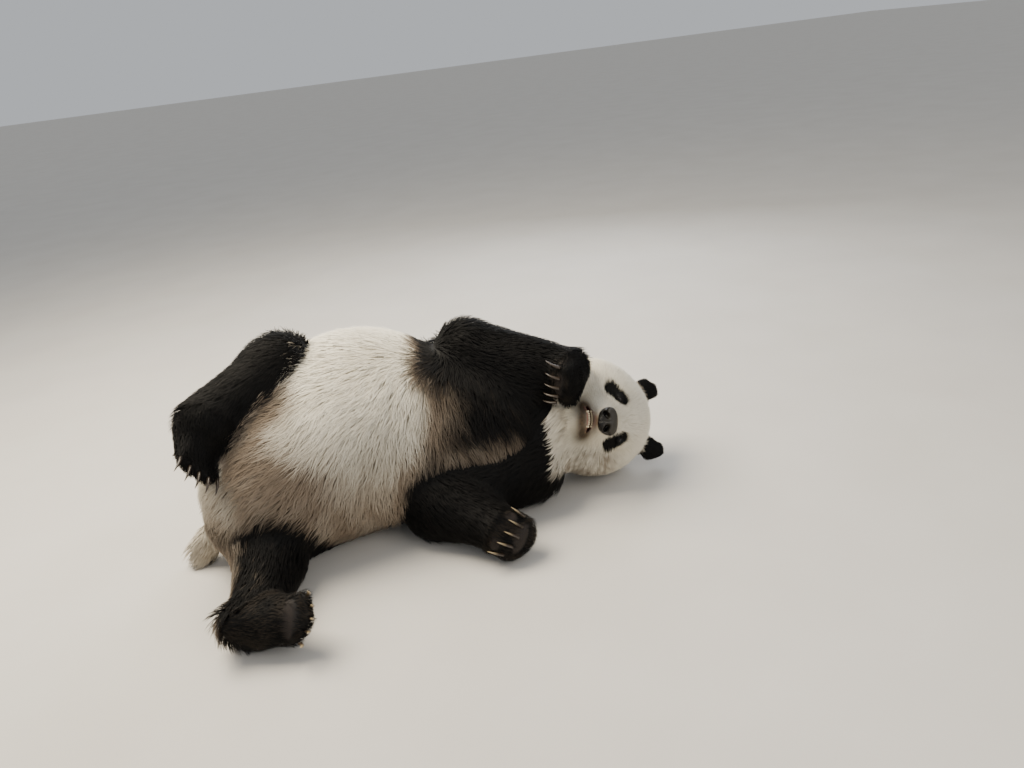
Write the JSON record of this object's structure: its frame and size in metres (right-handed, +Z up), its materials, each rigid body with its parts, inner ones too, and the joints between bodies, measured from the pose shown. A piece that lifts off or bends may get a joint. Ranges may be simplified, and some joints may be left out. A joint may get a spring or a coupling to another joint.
{
  "type": "giant panda",
  "caption": "Adult giant panda lying on its back, rolled to its left, head to one side, paws drawn up; a still life-size figure.",
  "frame": {"origin": "on the floor under the middle of the animal's bounding box, floor at z = 0", "axes": "+X from the rump to the head, +Y towards the animal's back, +Z up"},
  "size_m": [1.3566, 0.8566, 0.5656],
  "materials": {
    "white_coat": "dense matt cream-white fur",
    "black_coat": "dense matt black fur",
    "nose_leather": "moist dark grey-brown skin",
    "wet_eye": "wet, near-black brown",
    "claw_horn": "smooth ivory-grey horn"
  },
  "bodies": {
    "root": {"trunk": "white_coat", "tail": "white_coat", "head": "white_coat", "jaw": "white_coat", "neck": "black_coat", "ear_left": "black_coat", "ear_right": "black_coat", "nose": "nose_leather", "eye_left": "wet_eye", "eye_right": "wet_eye", "upper_arm_left": "black_coat", "forearm_left": "black_coat", "hand_left": "black_coat", "hand_claw_1_left": "claw_horn", "hand_claw_2_left": "claw_horn", "hand_claw_3_left": "claw_horn", "hand_claw_4_left": "claw_horn", "hand_claw_5_left": "claw_horn", "upper_arm_right": "black_coat", "forearm_right": "black_coat", "hand_right": "black_coat", "hand_claw_1_right": "claw_horn", "hand_claw_2_right": "claw_horn", "hand_claw_3_right": "claw_horn", "hand_claw_4_right": "claw_horn", "hand_claw_5_right": "claw_horn", "thigh_left": "black_coat", "shank_left": "black_coat", "foot_left": "black_coat", "foot_claw_1_left": "claw_horn", "foot_claw_2_left": "claw_horn", "foot_claw_3_left": "claw_horn", "foot_claw_4_left": "claw_horn", "foot_claw_5_left": "claw_horn", "thigh_right": "black_coat", "shank_right": "black_coat", "foot_right": "black_coat", "foot_claw_1_right": "claw_horn", "foot_claw_2_right": "claw_horn", "foot_claw_3_right": "claw_horn", "foot_claw_4_right": "claw_horn", "foot_claw_5_right": "claw_horn"}
  },
  "joints": []
}
